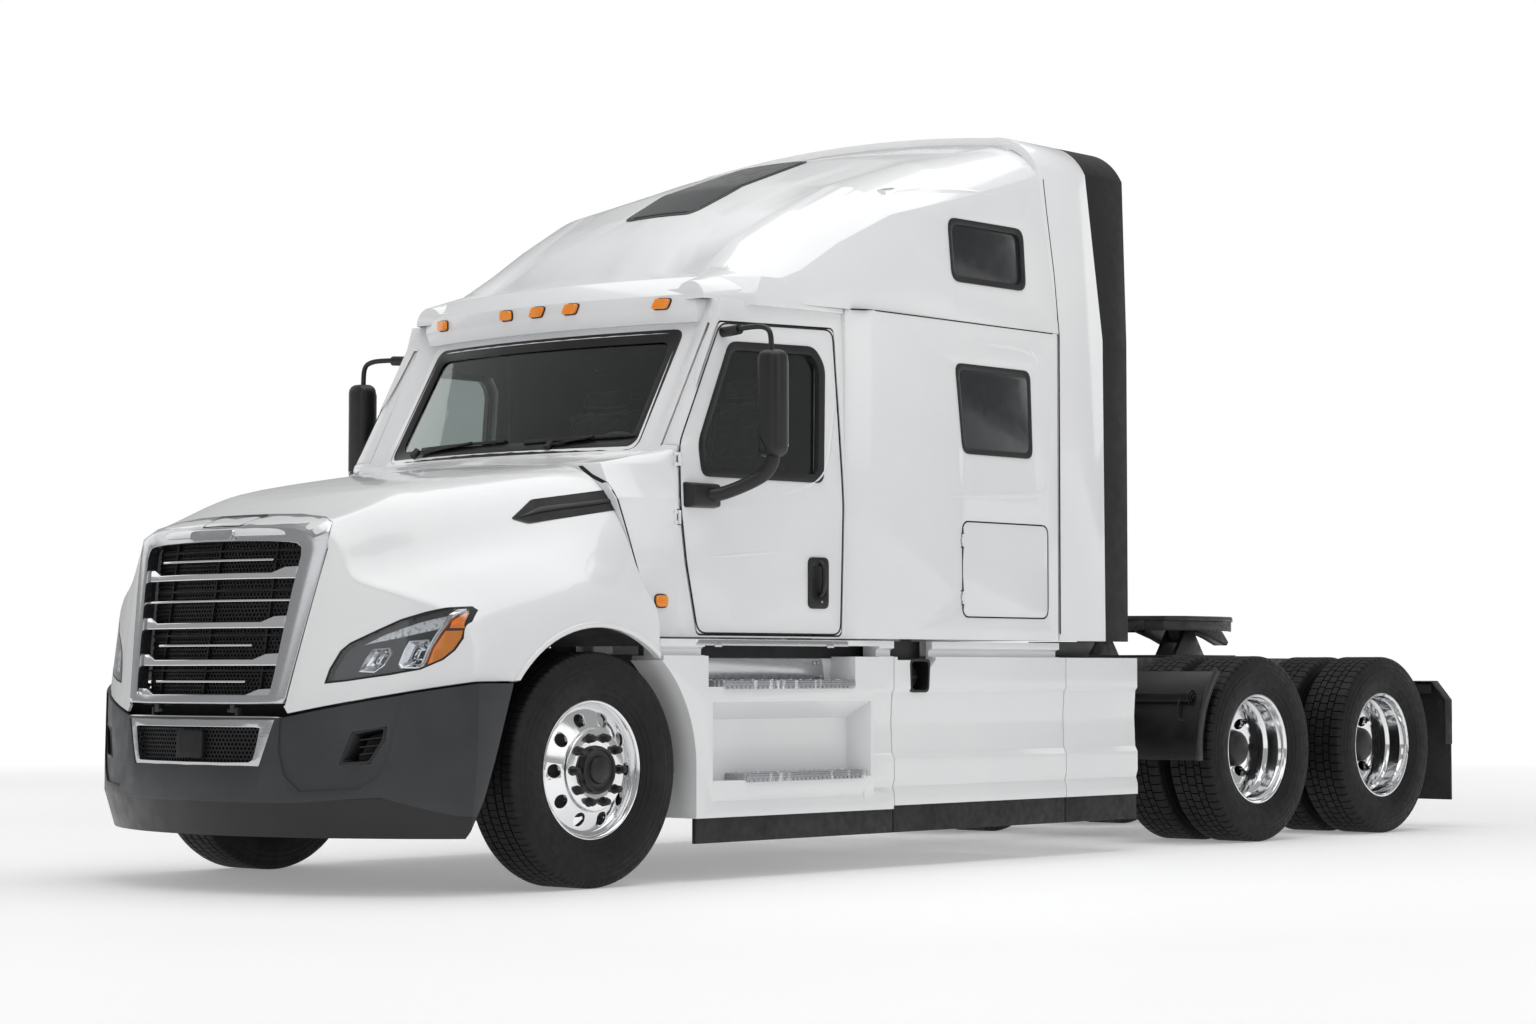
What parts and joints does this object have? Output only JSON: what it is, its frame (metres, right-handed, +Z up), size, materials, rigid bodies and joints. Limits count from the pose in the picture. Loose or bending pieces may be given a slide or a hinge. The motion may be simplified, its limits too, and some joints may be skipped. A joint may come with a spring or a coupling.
{
  "type": "semi truck tractor unit",
  "caption": "White tandem-axle highway tractor with raised-roof sleeper cab, side fairings, tilting hood, opening doors, steered front axle and tilting fifth wheel.",
  "frame": {"origin": "on the floor, midway along the length and width", "axes": "+Z up, -Y towards the front bumper, +X to the truck's left side"},
  "size_m": [2.876, 8.56, 3.7049],
  "materials": {
    "white_paint": "gloss white paint",
    "black_plastic": "moulded black plastic",
    "grey_plastic": "grained dark grey plastic",
    "chrome": "bright satin trim",
    "lamp_glass": "clear lamp lens over dark bezel",
    "window_glass": "tinted glass",
    "frame_black": "black chassis paint",
    "engine_grey": "cast, painted",
    "aluminium": "polished",
    "tread_plate": "diamond tread plate",
    "tyre_rubber": "matt rubber",
    "rubber": "matt rubber",
    "interior_plastic": "grained grey plastic",
    "seat_fabric": "woven seat cloth",
    "greased_steel": "dark greased steel"
  },
  "bodies": {
    "chassis": {"frame_rails": "frame_black", "frame_crossmembers": "frame_black", "front_axle": "frame_black", "drive_axles": "frame_black", "rear_suspension": "frame_black", "engine": "engine_grey", "radiator": "engine_grey", "front_bumper": "grey_plastic", "lower_grille": "black_plastic", "cab_shell": "white_paint", "sleeper_shell": "white_paint", "roof_cap": "white_paint", "roof_visor": "white_paint", "side_extenders": "white_paint", "extender_edges": "black_plastic", "glazing": "window_glass", "dashboard": "interior_plastic", "seats": "seat_fabric", "bunk": "seat_fabric", "side_skirts": "white_paint", "skirt_strips": "rubber", "access_steps": "tread_plate", "fuel_tanks": "aluminium", "quarter_fenders": "black_plastic", "mud_flaps": "rubber", "fifth_wheel_base": "greased_steel"},
    "hood": {"hood": "white_paint", "grille": "chrome", "headlamps": "lamp_glass", "arch_liners": "black_plastic"},
    "door_left": {"door_left": "white_paint", "door_glass_left": "window_glass", "mirror_left": "black_plastic"},
    "door_right": {"door_right": "white_paint", "door_glass_right": "window_glass", "mirror_right": "black_plastic"},
    "luggage_door_left": {"luggage_door_left": "white_paint"},
    "luggage_door_right": {"luggage_door_right": "white_paint"},
    "knuckle_left": {"knuckle_left": "frame_black"},
    "knuckle_right": {"knuckle_right": "frame_black"},
    "tie_rod": {"tie_rod": "frame_black"},
    "front_wheel_left": {"wheel_front_left": "aluminium", "tyre_front_left": "tyre_rubber"},
    "front_wheel_right": {"wheel_front_right": "aluminium", "tyre_front_right": "tyre_rubber"},
    "drive_wheels_1_left": {"wheels_drive_1_left": "aluminium", "tyres_drive_1_left": "tyre_rubber"},
    "drive_wheels_1_right": {"wheels_drive_1_right": "aluminium", "tyres_drive_1_right": "tyre_rubber"},
    "drive_wheels_2_left": {"wheels_drive_2_left": "aluminium", "tyres_drive_2_left": "tyre_rubber"},
    "drive_wheels_2_right": {"wheels_drive_2_right": "aluminium", "tyres_drive_2_right": "tyre_rubber"},
    "fifth_wheel_plate": {"fifth_wheel_plate": "greased_steel"}
  },
  "joints": [
    {"name": "hood_tilt", "type": "hinge", "parent": "chassis", "child": "hood", "pos_m": [0, -4.23, 0.765], "axis": [1, 0, 0], "range_deg": [0, 75]},
    {"name": "door_left_swing", "type": "hinge", "parent": "chassis", "child": "door_left", "pos_m": [1.091, -2.381, 1.6], "axis": [0, 0, -1], "range_deg": [0, 70]},
    {"name": "luggage_door_left_swing", "type": "hinge", "parent": "chassis", "child": "luggage_door_left", "pos_m": [1.221, -0.483, 1.43], "axis": [0, 0, -1], "range_deg": [0, 90]},
    {"name": "steer_left", "type": "hinge", "parent": "chassis", "child": "knuckle_left", "pos_m": [0.885, -3.005, 0.508], "axis": [0, 0, 1], "range_deg": [-40, 40]},
    {"name": "front_wheel_left_roll", "type": "hinge", "parent": "knuckle_left", "child": "front_wheel_left", "pos_m": [1.045, -3.005, 0.508], "axis": [1, 0, 0], "continuous": true},
    {"name": "drive_wheels_1_left_roll", "type": "hinge", "parent": "chassis", "child": "drive_wheels_1_left", "pos_m": [0.9035, 2.195, 0.508], "axis": [1, 0, 0], "continuous": true},
    {"name": "drive_wheels_2_left_roll", "type": "hinge", "parent": "chassis", "child": "drive_wheels_2_left", "pos_m": [0.9035, 3.515, 0.508], "axis": [1, 0, 0], "continuous": true},
    {"name": "door_right_swing", "type": "hinge", "parent": "chassis", "child": "door_right", "pos_m": [-1.091, -2.381, 1.6], "axis": [0, 0, 1], "range_deg": [0, 70]},
    {"name": "luggage_door_right_swing", "type": "hinge", "parent": "chassis", "child": "luggage_door_right", "pos_m": [-1.221, -0.483, 1.43], "axis": [0, 0, 1], "range_deg": [0, 90]},
    {"name": "steer_right", "type": "hinge", "parent": "chassis", "child": "knuckle_right", "pos_m": [-0.885, -3.005, 0.508], "axis": [0, 0, 1], "range_deg": [-40, 40]},
    {"name": "front_wheel_right_roll", "type": "hinge", "parent": "knuckle_right", "child": "front_wheel_right", "pos_m": [-1.045, -3.005, 0.508], "axis": [1, 0, 0], "continuous": true},
    {"name": "drive_wheels_1_right_roll", "type": "hinge", "parent": "chassis", "child": "drive_wheels_1_right", "pos_m": [-0.9035, 2.195, 0.508], "axis": [1, 0, 0], "continuous": true},
    {"name": "drive_wheels_2_right_roll", "type": "hinge", "parent": "chassis", "child": "drive_wheels_2_right", "pos_m": [-0.9035, 3.515, 0.508], "axis": [1, 0, 0], "continuous": true},
    {"name": "tie_rod_pivot", "type": "hinge", "parent": "knuckle_left", "child": "tie_rod", "pos_m": [0.885, -2.785, 0.45], "axis": [0, 0, 1], "range_deg": [-40, 40]},
    {"name": "fifth_wheel_tilt", "type": "hinge", "parent": "chassis", "child": "fifth_wheel_plate", "pos_m": [0, 2.76, 1.15], "axis": [1, 0, 0], "range_deg": [-12, 12]}
  ],
  "couplings": [
    {"joint": "steer_right", "follows": "steer_left", "ratio": 1},
    {"joint": "tie_rod_pivot", "follows": "steer_left", "ratio": -1}
  ]
}
